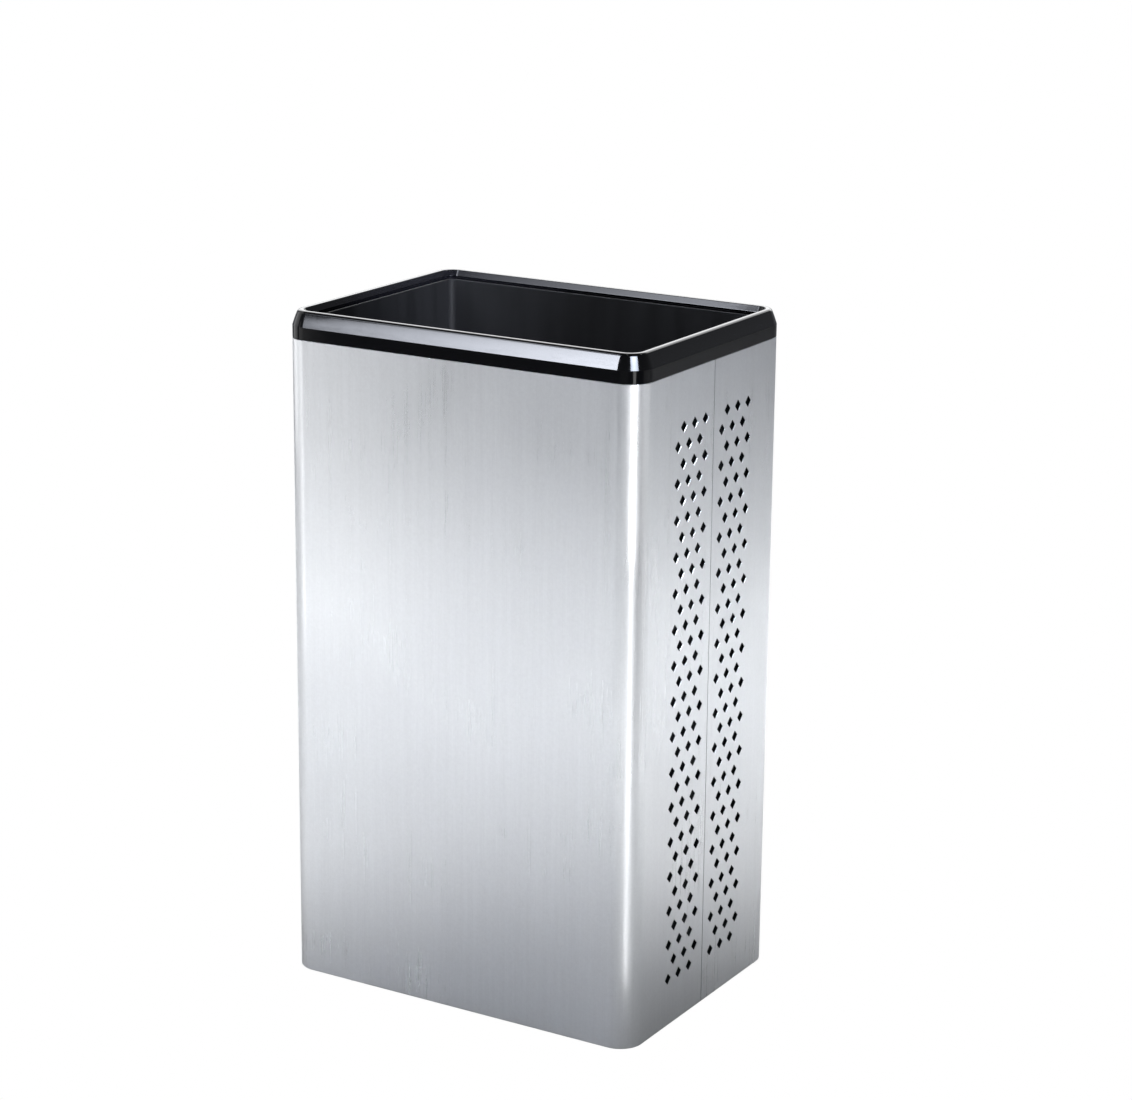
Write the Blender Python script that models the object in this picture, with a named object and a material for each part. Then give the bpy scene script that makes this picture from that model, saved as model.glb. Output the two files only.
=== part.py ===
"""Umbrella stand: two brushed steel half shells on a moulded base, with a lift-off rim and a lift-out liner.

Metres, +Z up. The origin is on the floor, in the middle of the stand. The long faces point to -Y and +Y,
and the seams between the half shells run up the middle of the short faces, at -X and +X.
"Inset" always means a distance inwards from the shells' outer face.
"""

import math

import bmesh
import bpy
from mathutils import Matrix

# Body
BODY_WIDTH = 0.360
BODY_DEPTH = 0.260
CORNER_RADIUS = 0.022
LEAST_CORNER_RADIUS = 0.006
CORNER_STEPS = 6
SHEET = 0.001
SHELL_BOTTOM = 0.003
SHELL_TOP = 0.595
FLANGE_WIDTH = 0.010
REST_GAP = 0.0003

# Seam between the half shells, and the channel that closes it from inside
SEAM_GAP = 0.0008
SEAM_FLANGE_DEPTH = 0.009
SEAM_FLANGE_BOTTOM = 0.028
SEAM_FLANGE_TOP = 0.589
SEAM_CLIP_BOTTOM = 0.032
SEAM_CLIP_TOP = 0.572

# Square perforations standing on their corners, in a strip along each side of each seam
HOLE_HALF_DIAGONAL = 0.0054
HOLE_CUTTER_LENGTH = 0.004
HOLE_COLUMNS = 6
HOLE_ROWS = 32
FIRST_COLUMN = 0.0150
COLUMN_PITCH = 0.0095
TOP_ROW = 0.5470
ROW_PITCH = 0.0161

# Screws
SCREW_INSET = 0.0058
SCREW_ALONG_FRONT = 0.115
SCREW_ALONG_SIDE = 0.055
SCREW_RADIUS = 0.0015
SCREW_HEAD_RADIUS = 0.0031
SCREW_HEAD_FLAT_RADIUS = 0.0025
SCREW_HEAD_HEIGHT = 0.0015
SCREW_LENGTH = 0.0095
SCREW_HOLE_RADIUS = 0.0018
BLIND_HOLE_EXTRA = 0.001

# Top frame, screwed onto the shells' upper flanges
FRAME_THICKNESS = 0.002
FRAME_OUTER_INSET = 0.0026
FRAME_INNER_INSET = 0.0104

# Rim
RIM_TOP = 0.620
RIM_LIP_BOTTOM = 0.5955
RIM_CREASE = 0.6065
RIM_WALL = 0.002
RIM_TOP_OUTER_INSET = 0.0050
RIM_TOP_INNER_INSET = 0.0085
RIM_OPENING_INSET = 0.0130
RIM_INNER_SLOPE_BOTTOM = 0.6150
RIM_SKIRT_BOTTOM = 0.577
RIM_LAND_INSET = 0.0095
RIM_CAVITY_TOP = 0.618
RIM_CAVITY_TOP_OUTER_INSET = 0.0064
RIM_CAVITY_TOP_INNER_INSET = 0.0075
RIM_CAVITY_SLOPE_BOTTOM = 0.6160
RIM_CAVITY_CORNER = 0.6061

# Liner
LINER_TOP = 0.6125
LINER_TOP_INSET = 0.0152
LINER_BOTTOM_INSET = 0.0200
LINER_WALL = 0.002
LINER_FLOOR = 0.0025
LINER_FOOT_RADIUS = 0.006
LINER_FOOT_STEPS = 4

# Base pan
PAN_FLOOR = 0.0025
PAN_WALL_INSET = 0.0015
PAN_WALL = 0.0022
PAN_WALL_TOP = 0.0205
SCREW_BOSS_RADIUS = 0.0037
SCREW_BOSS_TOP = 0.0175
LINER_REST = 0.0148
LINER_RIB_X = 0.060
LINER_RIB_WIDTH = 0.003
LINER_RIB_LENGTH = 0.160

# Feet
FOOT_NAMES = ("front_left", "front_right", "rear_left", "rear_right")
FOOT_INSET = 0.032
FOOT_RADIUS = 0.013
FOOT_HEIGHT = 0.004
FOOT_EDGE = 0.0005
FOOT_RECESS_RADIUS = 0.0045
FOOT_RECESS_DEPTH = 0.0024
FOOT_HOLE_RADIUS = 0.0019
FOOT_BOSS_RADIUS = 0.005

# Faces that meet at less than this angle are shaded as one
SMOOTH_DEGREES = 35.0

# Finishes: colour, roughness, metallic
BRUSHED_STEEL = ((0.60, 0.61, 0.62), 0.33, 1.0)
ZINCED_STEEL = ((0.52, 0.53, 0.55), 0.40, 1.0)
BLACKENED_STEEL = ((0.030, 0.030, 0.033), 0.50, 1.0)
GLOSS_BLACK = ((0.010, 0.010, 0.012), 0.12, 0.0)
SATIN_BLACK = ((0.028, 0.028, 0.030), 0.42, 0.0)
MATTE_BLACK = ((0.022, 0.022, 0.023), 0.60, 0.0)
RUBBER_BLACK = ((0.015, 0.015, 0.015), 0.85, 0.0)

PAN_BOTTOM = SHELL_BOTTOM + SHEET + REST_GAP
FRAME_BOTTOM = SHELL_TOP + REST_GAP
FRAME_TOP = FRAME_BOTTOM + FRAME_THICKNESS
LINER_BOTTOM = LINER_REST + REST_GAP


# ---------------------------------------------------------------- outlines

def corner(centre_x, centre_y, radius, start_degrees):
    """Points of a quarter circle, turning clockwise from the start angle."""
    points = []
    for step in range(CORNER_STEPS + 1):
        angle = math.radians(start_degrees - 90.0 * step / CORNER_STEPS)
        points.append((centre_x + radius * math.cos(angle), centre_y + radius * math.sin(angle)))
    return points


def corner_place(inset):
    """The radius of an outline's corners, and how far their centres are from the middle along X and Y."""
    radius = max(CORNER_RADIUS - inset, LEAST_CORNER_RADIUS)
    return radius, BODY_WIDTH / 2 - inset - radius, BODY_DEPTH / 2 - inset - radius


def whole_outline(inset):
    """The body's outline seen from above, moved inwards by the inset."""
    radius, x, y = corner_place(inset)
    return (corner(x, -y, radius, 0.0) + corner(-x, -y, radius, -90.0)
            + corner(-x, y, radius, -180.0) + corner(x, y, radius, -270.0))


def front_outline(inset):
    """The front half of the outline, from one seam to the other."""
    radius, x, y = corner_place(inset)
    seam_x = BODY_WIDTH / 2 - inset
    seam_y = -SEAM_GAP / 2
    return ([(seam_x, seam_y)] + corner(x, -y, radius, 0.0)
            + corner(-x, -y, radius, -90.0) + [(-seam_x, seam_y)])


# ---------------------------------------------------------------- mesh building

def add_loops(bm, profile, outline):
    """One row of vertices around the outline for each (inset, height) of the profile."""
    loops = []
    for inset, height in profile:
        loops.append([bm.verts.new((x, y, height)) for x, y in outline(inset)])
    return loops


def skin(bm, loop_a, loop_b, closed):
    """Faces between two rows of vertices."""
    count = len(loop_a)
    for i in range(count if closed else count - 1):
        j = (i + 1) % count
        bm.faces.new((loop_a[i], loop_a[j], loop_b[j], loop_b[i]))


def add_frame(bm, profile):
    """Sweep a closed profile all the way round the body's outline."""
    loops = add_loops(bm, profile, whole_outline)
    for k in range(len(loops)):
        skin(bm, loops[k], loops[(k + 1) % len(loops)], closed=True)


def add_half(bm, profile):
    """Sweep a closed profile round the front half of the outline, and close its two ends."""
    loops = add_loops(bm, profile, front_outline)
    for k in range(len(loops)):
        skin(bm, loops[k], loops[(k + 1) % len(loops)], closed=False)
    bm.faces.new([loop[0] for loop in loops])
    bm.faces.new([loop[-1] for loop in loops])


def add_vessel(bm, profile):
    """Sweep an open profile round the outline, and close its first and last rows with flat floors."""
    loops = add_loops(bm, profile, whole_outline)
    for loop_a, loop_b in zip(loops, loops[1:]):
        skin(bm, loop_a, loop_b, closed=True)
    bm.faces.new(loops[0])
    bm.faces.new(loops[-1])


def add_box(bm, low, high):
    """A box between two corners."""
    size = [b - a for a, b in zip(low, high)]
    middle = [(a + b) / 2 for a, b in zip(low, high)]
    matrix = Matrix.Translation(middle) @ Matrix.Diagonal((*size, 1.0))
    bmesh.ops.create_cube(bm, size=1.0, matrix=matrix)


def add_post(bm, x, y, bottom, top, radius, segments=12):
    """An upright prism: a round post, or the cutter of a round hole."""
    matrix = Matrix.Translation((x, y, (bottom + top) / 2))
    bmesh.ops.create_cone(bm, cap_ends=True, segments=segments, radius1=radius, radius2=radius,
                          depth=top - bottom, matrix=matrix)


def turned(bm, profile, segments):
    """Spin a (radius, height) profile about Z. Its ends are either on the axis or in the same place."""
    rings = []
    for radius, height in profile:
        if radius == 0.0:
            rings.append([bm.verts.new((0.0, 0.0, height))])
            continue
        angles = [2 * math.pi * i / segments for i in range(segments)]
        rings.append([bm.verts.new((radius * math.cos(a), radius * math.sin(a), height)) for a in angles])
    for ring_a, ring_b in zip(rings, rings[1:]):
        for i in range(segments):
            j = (i + 1) % segments
            if len(ring_a) == 1:
                bm.faces.new((ring_a[0], ring_b[j], ring_b[i]))
            elif len(ring_b) == 1:
                bm.faces.new((ring_a[i], ring_a[j], ring_b[0]))
            else:
                bm.faces.new((ring_a[i], ring_a[j], ring_b[j], ring_b[i]))


def finish_mesh(bm, name, smooth=False):
    """Turn a bmesh into mesh data with its faces pointing out."""
    bmesh.ops.recalc_face_normals(bm, faces=bm.faces)
    mesh = bpy.data.meshes.new(name)
    bm.to_mesh(mesh)
    bm.free()
    if smooth:
        mesh.shade_smooth()
        mesh.set_sharp_from_angle(angle=math.radians(SMOOTH_DEGREES))
    return mesh


# ---------------------------------------------------------------- objects

def make_material(name, finish):
    """A Principled BSDF of one finish."""
    colour, roughness, metallic = finish
    material = bpy.data.materials.new(name)
    material.use_nodes = True
    shader = material.node_tree.nodes["Principled BSDF"]
    shader.inputs["Base Color"].default_value = (*colour, 1.0)
    shader.inputs["Roughness"].default_value = roughness
    shader.inputs["Metallic"].default_value = metallic
    return material


def add_part(name, mesh, finish, location=(0.0, 0.0, 0.0), rotation=(0.0, 0.0, 0.0)):
    """Place one named piece. Pieces that share a mesh share its material."""
    if not mesh.materials:
        mesh.materials.append(make_material(name, finish))
    part = bpy.data.objects.new(name, mesh)
    part.location = location
    part.rotation_euler = rotation
    bpy.context.scene.collection.objects.link(part)
    return part


def add_tool(name, mesh, part, operation):
    """Join a helper shape to a part, or cut the part with it. The helper is not a piece of the stand."""
    tool = bpy.data.objects.new(name, mesh)
    tool.location = part.location
    tool.rotation_euler = part.rotation_euler
    tool.hide_render = True
    tool.display_type = "WIRE"
    bpy.context.scene.collection.objects.link(tool)
    modifier = part.modifiers.new(name, "BOOLEAN")
    modifier.operation = operation
    modifier.solver = "EXACT"
    modifier.object = tool


def screw_sites():
    """Where the screws through the shells' flanges stand, seen from above."""
    x = BODY_WIDTH / 2 - SCREW_INSET
    y = BODY_DEPTH / 2 - SCREW_INSET
    sites = []
    for side in (-1, 1):
        for along in (-1, 1):
            sites.append((along * SCREW_ALONG_FRONT, side * y))
            sites.append((side * x, along * SCREW_ALONG_SIDE))
    return sites


def foot_sites():
    """Where the feet stand."""
    x = BODY_WIDTH / 2 - FOOT_INSET
    y = BODY_DEPTH / 2 - FOOT_INSET
    return [(side_x * x, side_y * y) for side_y in (-1, 1) for side_x in (-1, 1)]


# ---------------------------------------------------------------- shells

def shell_mesh():
    """A U-shaped sheet with flanges turned in along its top and bottom edges."""
    bm = bmesh.new()
    add_half(bm, [
        (0.0, SHELL_BOTTOM),
        (0.0, SHELL_TOP),
        (FLANGE_WIDTH, SHELL_TOP),
        (FLANGE_WIDTH, SHELL_TOP - SHEET),
        (SHEET, SHELL_TOP - SHEET),
        (SHEET, SHELL_BOTTOM + SHEET),
        (FLANGE_WIDTH, SHELL_BOTTOM + SHEET),
        (FLANGE_WIDTH, SHELL_BOTTOM),
    ])
    return finish_mesh(bm, "shell")


def seam_flange_mesh():
    """The flanges turned in along a shell's two upright edges."""
    bm = bmesh.new()
    for side in (-1, 1):
        x_outer = side * (BODY_WIDTH / 2 - SHEET / 2)
        x_inner = side * (BODY_WIDTH / 2 - SEAM_FLANGE_DEPTH)
        add_box(bm, (min(x_outer, x_inner), -SEAM_GAP / 2 - SHEET, SEAM_FLANGE_BOTTOM),
                (max(x_outer, x_inner), -SEAM_GAP / 2, SEAM_FLANGE_TOP))
    return finish_mesh(bm, "seam_flanges")


def perforation_mesh():
    """Cutters of all the perforations in one shell: both of its strips."""
    bm = bmesh.new()
    on_its_corner = Matrix.Rotation(math.radians(90.0), 4, "Y")
    for side in (-1, 1):
        for row in range(HOLE_ROWS):
            first = row % 2 if side > 0 else 1 - row % 2
            for column in range(first, HOLE_COLUMNS, 2):
                y = -(FIRST_COLUMN + column * COLUMN_PITCH)
                z = TOP_ROW - row * ROW_PITCH
                place = Matrix.Translation((side * (BODY_WIDTH / 2 - SHEET / 2), y, z))
                bmesh.ops.create_cone(bm, cap_ends=True, segments=4, radius1=HOLE_HALF_DIAGONAL,
                                      radius2=HOLE_HALF_DIAGONAL, depth=HOLE_CUTTER_LENGTH,
                                      matrix=place @ on_its_corner)
    return finish_mesh(bm, "perforations")


def flange_hole_mesh():
    """Cutters of the screw holes in a shell's upper and lower flanges."""
    bm = bmesh.new()
    for x, y in screw_sites():
        if y < 0.0:
            for middle in (SHELL_BOTTOM + SHEET / 2, SHELL_TOP - SHEET / 2):
                add_post(bm, x, y, middle - SHEET, middle + SHEET, SCREW_HOLE_RADIUS)
    return finish_mesh(bm, "flange_holes")


def build_shells():
    """The rear shell is the front shell turned half round."""
    mesh = shell_mesh()
    flanges = seam_flange_mesh()
    perforations = perforation_mesh()
    flange_holes = flange_hole_mesh()
    for name, turn in (("front_shell", 0.0), ("rear_shell", math.pi)):
        shell = add_part(name, mesh, BRUSHED_STEEL, rotation=(0.0, 0.0, turn))
        add_tool(name + "_seam_flanges", flanges, shell, "UNION")
        add_tool(name + "_perforations", perforations, shell, "DIFFERENCE")
        add_tool(name + "_flange_holes", flange_holes, shell, "DIFFERENCE")


def build_seam_clips():
    """A channel pressed over the two upright flanges behind each seam."""
    half_inner = SEAM_GAP / 2 + SHEET + REST_GAP
    half_outer = half_inner + SHEET
    mouth = BODY_WIDTH / 2 - SHEET - REST_GAP
    web_outer = BODY_WIDTH / 2 - SEAM_FLANGE_DEPTH - REST_GAP
    web_inner = web_outer - SHEET
    section = [
        (mouth, -half_outer),
        (web_inner, -half_outer),
        (web_inner, half_outer),
        (mouth, half_outer),
        (mouth, half_inner),
        (web_outer, half_inner),
        (web_outer, -half_inner),
        (mouth, -half_inner),
    ]
    bm = bmesh.new()
    face = bm.faces.new([bm.verts.new((x, y, SEAM_CLIP_BOTTOM)) for x, y in section])
    extruded = bmesh.ops.extrude_face_region(bm, geom=[face])
    top = [item for item in extruded["geom"] if isinstance(item, bmesh.types.BMVert)]
    bmesh.ops.translate(bm, verts=top, vec=(0.0, 0.0, SEAM_CLIP_TOP - SEAM_CLIP_BOTTOM))
    mesh = finish_mesh(bm, "seam_clip")
    add_part("seam_clip_right", mesh, BLACKENED_STEEL)
    add_part("seam_clip_left", mesh, BLACKENED_STEEL, rotation=(0.0, 0.0, math.pi))


# ---------------------------------------------------------------- top

def build_top_frame():
    """A flat frame that ties the two shells together under the rim."""
    bm = bmesh.new()
    add_frame(bm, [
        (FRAME_OUTER_INSET, FRAME_BOTTOM),
        (FRAME_OUTER_INSET, FRAME_TOP),
        (FRAME_INNER_INSET, FRAME_TOP),
        (FRAME_INNER_INSET, FRAME_BOTTOM),
    ])
    frame = add_part("top_frame", finish_mesh(bm, "top_frame"), ZINCED_STEEL)
    bm = bmesh.new()
    for x, y in screw_sites():
        add_post(bm, x, y, FRAME_BOTTOM - SHEET, FRAME_TOP + SHEET, SCREW_HOLE_RADIUS)
    add_tool("top_frame_holes", finish_mesh(bm, "top_frame_holes"), frame, "DIFFERENCE")


def build_rim():
    """A hollow moulded rim: its lip stands flush above the shells and its skirt drops inside them."""
    bm = bmesh.new()
    skirt_outer = RIM_OPENING_INSET - RIM_WALL
    rest = FRAME_TOP + REST_GAP
    add_frame(bm, [
        (0.0, RIM_LIP_BOTTOM),
        (0.0, RIM_CREASE),
        (RIM_TOP_OUTER_INSET, RIM_TOP),
        (RIM_TOP_INNER_INSET, RIM_TOP),
        (RIM_OPENING_INSET, RIM_INNER_SLOPE_BOTTOM),
        (RIM_OPENING_INSET, RIM_SKIRT_BOTTOM),
        (skirt_outer, RIM_SKIRT_BOTTOM),
        (skirt_outer, rest),
        (RIM_LAND_INSET, rest),
        (RIM_LAND_INSET, RIM_CAVITY_SLOPE_BOTTOM),
        (RIM_CAVITY_TOP_INNER_INSET, RIM_CAVITY_TOP),
        (RIM_CAVITY_TOP_OUTER_INSET, RIM_CAVITY_TOP),
        (RIM_WALL, RIM_CAVITY_CORNER),
        (RIM_WALL, RIM_LIP_BOTTOM),
    ])
    add_part("rim", finish_mesh(bm, "rim", smooth=True), GLOSS_BLACK)


def build_liner():
    """A tall tapered bin that stands on the base pan and lifts out through the rim."""
    def fillet(corner_inset, corner_height, radius):
        points = []
        for step in range(LINER_FOOT_STEPS + 1):
            angle = math.radians(90.0 * step / LINER_FOOT_STEPS)
            points.append((corner_inset + radius * (1.0 - math.sin(angle)),
                           corner_height + radius * (1.0 - math.cos(angle))))
        return points

    outside = fillet(LINER_BOTTOM_INSET, LINER_BOTTOM, LINER_FOOT_RADIUS)
    inside = fillet(LINER_BOTTOM_INSET + LINER_WALL, LINER_BOTTOM + LINER_FLOOR,
                    LINER_FOOT_RADIUS - LINER_WALL)
    bm = bmesh.new()
    add_vessel(bm, outside + [(LINER_TOP_INSET, LINER_TOP), (LINER_TOP_INSET + LINER_WALL, LINER_TOP)]
               + inside[::-1])
    add_part("liner", finish_mesh(bm, "liner", smooth=True), SATIN_BLACK)


# ---------------------------------------------------------------- base

def build_base_pan():
    """A moulded tray inside the shells' lower flanges, with bosses for the screws and the feet."""
    bm = bmesh.new()
    add_vessel(bm, [
        (PAN_WALL_INSET, PAN_BOTTOM),
        (PAN_WALL_INSET, PAN_WALL_TOP),
        (PAN_WALL_INSET + PAN_WALL, PAN_WALL_TOP),
        (PAN_WALL_INSET + PAN_WALL, PAN_BOTTOM + PAN_FLOOR),
    ])
    pan = add_part("base_pan", finish_mesh(bm, "base_pan"), MATTE_BLACK)

    root = PAN_BOTTOM + PAN_FLOOR / 2
    bm = bmesh.new()
    for x, y in screw_sites():
        add_post(bm, x, y, root, SCREW_BOSS_TOP, SCREW_BOSS_RADIUS)
    for x, y in foot_sites():
        add_post(bm, x, y, root, LINER_REST, FOOT_BOSS_RADIUS)
    for side in (-1, 1):
        x = side * LINER_RIB_X
        add_box(bm, (x - LINER_RIB_WIDTH / 2, -LINER_RIB_LENGTH / 2, root),
                (x + LINER_RIB_WIDTH / 2, LINER_RIB_LENGTH / 2, LINER_REST))
    add_tool("base_pan_bosses", finish_mesh(bm, "base_pan_bosses"), pan, "UNION")

    shank_top = SHELL_BOTTOM - REST_GAP + SCREW_LENGTH
    foot_shank_top = FOOT_RECESS_DEPTH - REST_GAP + SCREW_LENGTH
    bm = bmesh.new()
    for x, y in screw_sites():
        add_post(bm, x, y, PAN_BOTTOM - SHEET, shank_top + BLIND_HOLE_EXTRA, SCREW_HOLE_RADIUS)
    for x, y in foot_sites():
        add_post(bm, x, y, PAN_BOTTOM - SHEET, foot_shank_top + BLIND_HOLE_EXTRA, SCREW_HOLE_RADIUS)
    add_tool("base_pan_holes", finish_mesh(bm, "base_pan_holes"), pan, "DIFFERENCE")


def build_feet():
    """Round rubber feet with a recess for the screw's head."""
    bm = bmesh.new()
    turned(bm, [
        (FOOT_RECESS_RADIUS, 0.0),
        (FOOT_RADIUS - FOOT_EDGE, 0.0),
        (FOOT_RADIUS, FOOT_EDGE),
        (FOOT_RADIUS, FOOT_HEIGHT),
        (FOOT_HOLE_RADIUS, FOOT_HEIGHT),
        (FOOT_HOLE_RADIUS, FOOT_RECESS_DEPTH),
        (FOOT_RECESS_RADIUS, FOOT_RECESS_DEPTH),
        (FOOT_RECESS_RADIUS, 0.0),
    ], segments=24)
    bmesh.ops.remove_doubles(bm, verts=bm.verts, dist=1e-6)
    mesh = finish_mesh(bm, "foot", smooth=True)
    for name, site in zip(FOOT_NAMES, foot_sites()):
        add_part("foot_" + name, mesh, RUBBER_BLACK, location=(*site, 0.0))


# ---------------------------------------------------------------- screws

def screw_mesh():
    """A pan-head screw: the seat under its head is at height 0 and its shank points up."""
    bm = bmesh.new()
    turned(bm, [
        (0.0, -SCREW_HEAD_HEIGHT),
        (SCREW_HEAD_FLAT_RADIUS, -SCREW_HEAD_HEIGHT),
        (SCREW_HEAD_RADIUS, -SCREW_HEAD_HEIGHT / 2),
        (SCREW_HEAD_RADIUS, 0.0),
        (SCREW_RADIUS, 0.0),
        (SCREW_RADIUS, SCREW_LENGTH - SCREW_RADIUS),
        (0.0, SCREW_LENGTH),
    ], segments=12)
    return finish_mesh(bm, "screw", smooth=True)


def build_screws():
    """Screws through the lower flanges and the feet point up; those of the top frame point down."""
    mesh = screw_mesh()
    for number, (x, y) in enumerate(screw_sites(), start=1):
        add_part(f"base_screw_{number}", mesh, ZINCED_STEEL, location=(x, y, SHELL_BOTTOM - REST_GAP))
        add_part(f"top_screw_{number}", mesh, ZINCED_STEEL, location=(x, y, FRAME_TOP + REST_GAP),
                 rotation=(math.pi, 0.0, 0.0))
    for name, (x, y) in zip(FOOT_NAMES, foot_sites()):
        add_part("foot_screw_" + name, mesh, ZINCED_STEEL, location=(x, y, FOOT_RECESS_DEPTH - REST_GAP))


# ---------------------------------------------------------------- main

def main():
    for old in list(bpy.data.objects):
        bpy.data.objects.remove(old, do_unlink=True)
    build_shells()
    build_seam_clips()
    build_top_frame()
    build_rim()
    build_liner()
    build_base_pan()
    build_feet()
    build_screws()


main()
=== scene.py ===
"""Umbrella stand: the finished surfaces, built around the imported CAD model.

Metres, +Z up, in the CAD model's own frame. "Inset" always means a distance inwards from the shells'
outer face.
"""

import math

import bmesh
import bpy
from mathutils import Euler, Matrix, Vector


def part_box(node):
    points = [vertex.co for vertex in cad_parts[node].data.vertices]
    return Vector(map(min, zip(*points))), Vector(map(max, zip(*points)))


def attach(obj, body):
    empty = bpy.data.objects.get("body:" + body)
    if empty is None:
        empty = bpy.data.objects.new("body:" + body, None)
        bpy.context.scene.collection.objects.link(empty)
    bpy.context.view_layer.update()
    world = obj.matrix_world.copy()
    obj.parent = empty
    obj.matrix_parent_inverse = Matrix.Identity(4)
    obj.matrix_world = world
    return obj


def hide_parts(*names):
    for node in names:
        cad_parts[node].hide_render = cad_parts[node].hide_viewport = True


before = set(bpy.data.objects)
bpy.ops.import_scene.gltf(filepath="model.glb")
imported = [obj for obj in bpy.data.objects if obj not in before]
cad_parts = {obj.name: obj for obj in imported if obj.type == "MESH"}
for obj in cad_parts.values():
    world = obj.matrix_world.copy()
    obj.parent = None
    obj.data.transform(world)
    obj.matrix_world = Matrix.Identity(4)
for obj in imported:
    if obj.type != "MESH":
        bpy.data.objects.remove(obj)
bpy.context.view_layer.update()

# ---------------------------------------------------------------- sizes taken from the frame

shell_low, shell_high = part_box("front_shell")
HALF_WIDTH = shell_high.x
HALF_DEPTH = -shell_low.y
SHELL_BOTTOM = shell_low.z
SHELL_TOP = shell_high.z
HALF_SEAM = -shell_high.y
rim_low, rim_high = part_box("rim")
RIM_LIP_BOTTOM = SHELL_TOP + 0.0005
_, frame_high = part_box("top_frame")
liner_low, liner_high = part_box("liner")
pan_low, pan_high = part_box("base_pan")

# ---------------------------------------------------------------- sizes that the frame's boxes don't say

CORNER_RADIUS = 0.022
LEAST_CORNER_RADIUS = 0.006
CORNER_STEPS = 18
SHEET = 0.001
FLANGE_WIDTH = 0.010
SEAM_FLANGE_DEPTH = 0.009
SEAM_FLANGE_BOTTOM = 0.028
SEAM_FLANGE_TOP = SHELL_TOP - 0.006
SEAM_EDGE_RADIUS = 0.0022

HOLE_HALF_DIAGONAL = 0.0054
HOLE_CORNER_RADIUS = 0.0008
HOLE_CHAMFER = 0.00015
HOLE_COLUMNS = 6
HOLE_ROWS = 32
FIRST_COLUMN = 0.0150
COLUMN_PITCH = 0.0095
TOP_ROW = 0.5470
ROW_PITCH = 0.0161

SCREW_INSET = 0.0058
SCREW_ALONG_FRONT = 0.115
SCREW_ALONG_SIDE = 0.055
SCREW_HOLE_RADIUS = 0.0018
SCREW_HEAD_HEIGHT = 0.0015
SCREW_CORE_RADIUS = 0.0013
SCREW_THREAD_RADIUS = 0.0015
SCREW_THREAD_START = 0.0006
SCREW_THREAD_PITCH = 0.0007
SCREW_THREAD_HALF = 0.0002
SCREW_POINT_LENGTH = 0.0014
SCREW_POINT_RADIUS = 0.0004
CROSS_ARM = 0.0019
CROSS_HALF_WIDTH = 0.0004

RIM_WALL = 0.002
RIM_CREASE = 0.6065
RIM_TOP_OUTER_INSET = 0.0050
RIM_TOP_INNER_INSET = 0.0100
RIM_OPENING_INSET = 0.0130
RIM_INNER_SLOPE_BOTTOM = 0.6150
RIM_FACET_BULGE = (0.0023, 0.6133)
RIM_LAND_INSET = 0.0095
RIM_CAVITY_TOP = 0.618
RIM_CAVITY_TOP_OUTER_INSET = 0.0064
RIM_CAVITY_TOP_INNER_INSET = 0.0075
RIM_CAVITY_SLOPE_BOTTOM = 0.6160
RIM_CAVITY_CORNER = 0.6061
REST_GAP = 0.0003

LINER_TOP_INSET = HALF_WIDTH - liner_high.x
LINER_BOTTOM_INSET = 0.0200
LINER_WALL = 0.002
LINER_FLOOR = 0.0025
LINER_UNDERSIDE_EDGE = 0.0120
LINER_FLOOR_EDGE = 0.0079
LINER_RIBS = 7
LINER_RIB_PITCH = 0.022
LINER_RIB_WIDTH = 0.003
LINER_RIB_HEIGHT = 0.0012
LINER_RIB_ROOT = 0.0005
LINER_RIB_BEVEL = 0.0006
LINER_RIB_END_GAP = 0.030

PAN_WALL = 0.0022
PAN_FLOOR = 0.0025
PAN_RETURN = 0.012
SCREW_BOSS_RADIUS = 0.0037
SCREW_BOSS_TOP = 0.0175
FOOT_BOSS_RADIUS = 0.005
LINER_REST = 0.0148
REST_RIB_X = 0.060
REST_RIB_WIDTH = 0.003
REST_RIB_LENGTH = 0.160
REST_RIB_BEVEL = 0.0004
PANEL_PLACES = (-0.068, 0.0, 0.068)
PANEL_SIZE = (0.056, 0.078)
PANEL_GAP = 0.012
PANEL_DEPTH = 0.0006

FOOT_NAMES = ("front_left", "front_right", "rear_left", "rear_right")
FOOT_RECESS_RADIUS = 0.0045
FOOT_RECESS_DEPTH = 0.0024
FOOT_HOLE_RADIUS = 0.0019
FOOT_GROOVES = (0.0065, 0.0085, 0.0105)
FOOT_GROOVE_HALF_WIDTH = 0.0004
FOOT_GROOVE_DEPTH = 0.0006

ROUND_STEPS = 32
SCREW_STEPS = 24
FOOT_STEPS = 48
SMOOTH_ANGLE = 32.0
SAME_PLACE = 1e-6

# ---------------------------------------------------------------- camera and light

CAMERA_PLACE = (1.3788, -2.2435, 1.1324)
CAMERA_YAW = 30.950
CAMERA_PITCH = 15.548
CAMERA_ROLL = 0.548
CAMERA_LENS = 96.76
SENSOR_WIDTH = 36.0

# The floor's painted shade, deepest beside the stand, which the steel reflects: its grey at a distance from
# the stand's middle: (distance, grey).
FLOOR_PAINTED_SHADE_NEAR = (0.15, 0.20)
FLOOR_PAINTED_SHADE_FAR = (0.85, 0.80)
FLOOR_HALF_SIZE = 30.0

# The room's light at the horizon and straight up: (sine of the angle above the horizon, level).
WORLD_LEVELS = ((0.0, 0.48), (1.0, 0.18))
WORLD_TINT = (0.95, 0.98, 1.06)

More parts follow.
